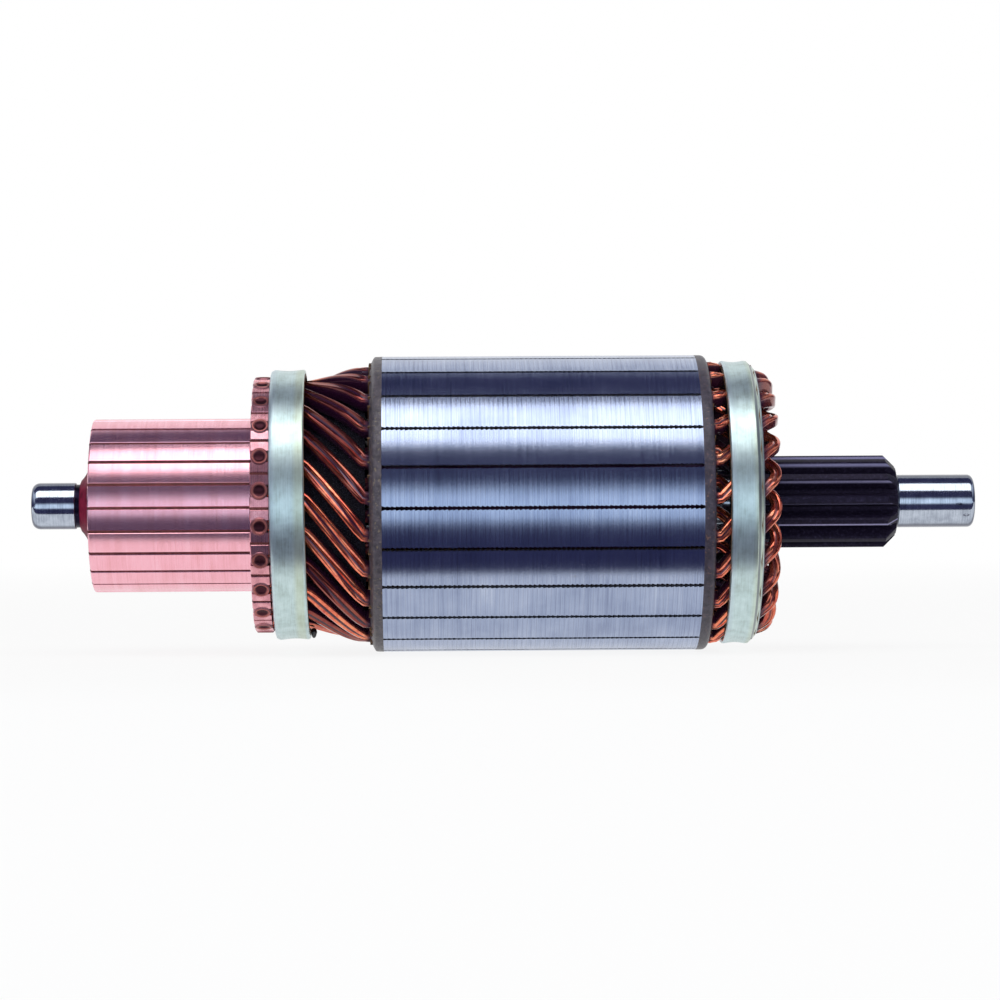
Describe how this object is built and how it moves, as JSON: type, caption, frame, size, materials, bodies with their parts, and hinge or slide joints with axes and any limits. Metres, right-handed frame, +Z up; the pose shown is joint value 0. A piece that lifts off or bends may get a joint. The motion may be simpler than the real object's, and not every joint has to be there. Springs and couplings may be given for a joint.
{
  "type": "motor armature",
  "caption": "Starter-motor armature: shaft with sun gear, slotted laminated core, hairpin winding, copper commutator and banding rings.",
  "frame": {"origin": "centre of the commutator-end bearing journal, on the shaft axis", "axes": "+X along the shaft towards the drive end, +Z up with the shaft level"},
  "size_m": [0.2234, 0.07, 0.07],
  "materials": {
    "shaft_steel": "ground journals, dark oiled gear teeth",
    "core_steel": "turned electrical steel laminations",
    "disc_fibre": "varnished insulating fibre",
    "hub_moulding": "moulded phenolic",
    "mica": "mica plate, cut back below the copper",
    "commutator_copper": "turned bare copper",
    "enamelled_copper": "red-brown enamel under varnish",
    "insulating_paper": "dark varnished insulating paper",
    "band_steel": "zinc plated"
  },
  "bodies": {
    "root": {"rotor_shaft": "shaft_steel", "core_stack": "core_steel", "end_disc_commutator_side": "disc_fibre", "end_disc_drive_side": "disc_fibre", "slot_liners": "insulating_paper", "commutator_hub": "hub_moulding", "mica_segments": "mica", "layer_paper_commutator_side": "insulating_paper", "layer_paper_drive_side": "insulating_paper", "band_commutator_side": "band_steel", "band_drive_side": "band_steel", "band_paper_commutator_side": "insulating_paper", "band_paper_drive_side": "insulating_paper", "commutator_bar_01": "commutator_copper", "hairpin_01": "enamelled_copper", "commutator_bar_02": "commutator_copper", "hairpin_02": "enamelled_copper", "commutator_bar_03": "commutator_copper", "hairpin_03": "enamelled_copper", "commutator_bar_04": "commutator_copper", "hairpin_04": "enamelled_copper", "commutator_bar_05": "commutator_copper", "hairpin_05": "enamelled_copper", "commutator_bar_06": "commutator_copper", "hairpin_06": "enamelled_copper", "commutator_bar_07": "commutator_copper", "hairpin_07": "enamelled_copper", "commutator_bar_08": "commutator_copper", "hairpin_08": "enamelled_copper", "commutator_bar_09": "commutator_copper", "hairpin_09": "enamelled_copper", "commutator_bar_10": "commutator_copper", "hairpin_10": "enamelled_copper", "commutator_bar_11": "commutator_copper", "hairpin_11": "enamelled_copper", "commutator_bar_12": "commutator_copper", "hairpin_12": "enamelled_copper", "commutator_bar_13": "commutator_copper", "hairpin_13": "enamelled_copper", "commutator_bar_14": "commutator_copper", "hairpin_14": "enamelled_copper", "commutator_bar_15": "commutator_copper", "hairpin_15": "enamelled_copper", "commutator_bar_16": "commutator_copper", "hairpin_16": "enamelled_copper", "commutator_bar_17": "commutator_copper", "hairpin_17": "enamelled_copper", "commutator_bar_18": "commutator_copper", "hairpin_18": "enamelled_copper", "commutator_bar_19": "commutator_copper", "hairpin_19": "enamelled_copper", "commutator_bar_20": "commutator_copper", "hairpin_20": "enamelled_copper", "commutator_bar_21": "commutator_copper", "hairpin_21": "enamelled_copper", "commutator_bar_22": "commutator_copper", "hairpin_22": "enamelled_copper", "commutator_bar_23": "commutator_copper", "hairpin_23": "enamelled_copper"}
  },
  "joints": []
}
